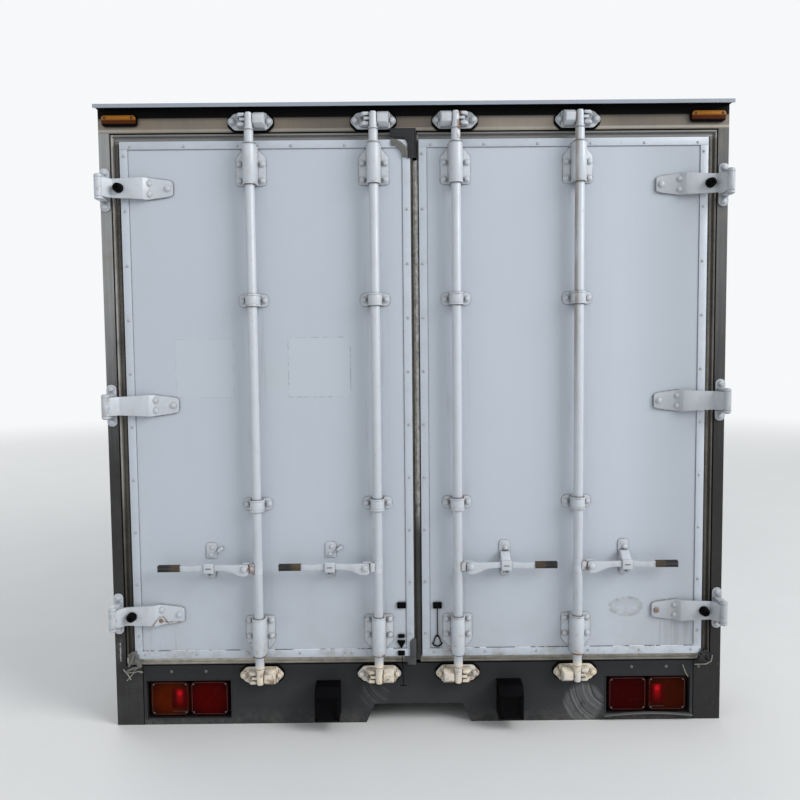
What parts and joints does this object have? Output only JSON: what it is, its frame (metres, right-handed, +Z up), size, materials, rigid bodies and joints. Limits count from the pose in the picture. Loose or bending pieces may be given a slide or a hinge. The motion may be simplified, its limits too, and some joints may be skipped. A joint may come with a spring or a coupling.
{
  "type": "refrigerated truck body",
  "caption": "Insulated refrigerated truck body standing on the ground off its chassis, with two hinged rear doors, lock rods, tail lamps and a front cooling unit.",
  "frame": {"origin": "on the ground under the centre of the outline", "axes": "+Z up, the rear doors face -Y, the cooling unit faces +Y, +X is to the right when facing the doors"},
  "size_m": [2.25, 6.695, 2.257],
  "materials": {
    "insulated_panel": "white coated sheet over insulating foam, weathered",
    "door_skin": "white coated sheet, faintly dirty",
    "door_edge": "white edge moulding with screws",
    "aluminium_rail": "dull extruded aluminium",
    "bare_stainless": "dirty bare stainless sheet",
    "skirt_steel": "grimy dark grey sheet",
    "underframe_steel": "black chassis paint with dust",
    "white_hardware": "thick white paint over castings, rusting at edges",
    "black_rubber": "black rubber",
    "red_lens": "red lens",
    "amber_lens": "amber lens",
    "unit_shell": "white moulded cover",
    "black_wire": "black coated wire",
    "coil_fins": "aluminium fins",
    "fan_plastic": "black moulded plastic"
  },
  "bodies": {
    "body": {"floor_panel": "insulated_panel", "side_wall_right": "insulated_panel", "side_wall_left": "insulated_panel", "front_wall": "insulated_panel", "roof_panel": "insulated_panel", "edge_rails": "aluminium_rail", "cargo_rails": "aluminium_rail", "sills": "underframe_steel", "cross_members": "underframe_steel", "rear_posts": "bare_stainless", "rear_header": "bare_stainless", "rear_sill": "skirt_steel", "roof_visor": "aluminium_rail", "lamp_boxes": "skirt_steel", "red_lenses": "red_lens", "amber_lamps": "amber_lens", "dock_bumpers": "black_rubber", "hinge_brackets": "white_hardware", "keeper_pads": "black_rubber", "rod_keepers": "white_hardware", "unit_frame": "underframe_steel", "unit_cover": "unit_shell", "fan_guards": "black_wire", "condenser_coil": "coil_fins", "evaporator": "unit_shell"},
    "door_right": {"door_panel_right": "door_skin", "door_trim_right": "door_edge", "door_seal_right": "black_rubber", "hinge_straps_right": "white_hardware", "door_stops_right": "black_rubber", "rod_guides_right": "white_hardware", "lock_rods_right": "white_hardware", "lock_handles_right": "white_hardware", "handle_catches_right": "white_hardware"},
    "fan_right": {"fan_right": "fan_plastic"},
    "door_left": {"door_panel_left": "door_skin", "door_trim_left": "door_edge", "door_seal_left": "black_rubber", "hinge_straps_left": "white_hardware", "door_stops_left": "black_rubber", "rod_guides_left": "white_hardware", "lock_rods_left": "white_hardware", "lock_handles_left": "white_hardware", "handle_catches_left": "white_hardware"},
    "fan_left": {"fan_left": "fan_plastic"}
  },
  "joints": [
    {"name": "door_right_hinge", "type": "hinge", "parent": "body", "child": "door_right", "pos_m": [1.107, -3.3205, 1.197], "axis": [0, 0, 1], "range_deg": [0, 250]},
    {"name": "door_left_hinge", "type": "hinge", "parent": "body", "child": "door_left", "pos_m": [-1.107, -3.3205, 1.197], "axis": [0, 0, -1], "range_deg": [0, 250]},
    {"name": "fan_right_spin", "type": "hinge", "parent": "body", "child": "fan_right", "pos_m": [0.34, 3.2875, 1.913], "axis": [0, 1, 0], "continuous": true},
    {"name": "fan_left_spin", "type": "hinge", "parent": "body", "child": "fan_left", "pos_m": [-0.34, 3.2875, 1.913], "axis": [0, 1, 0], "continuous": true}
  ]
}
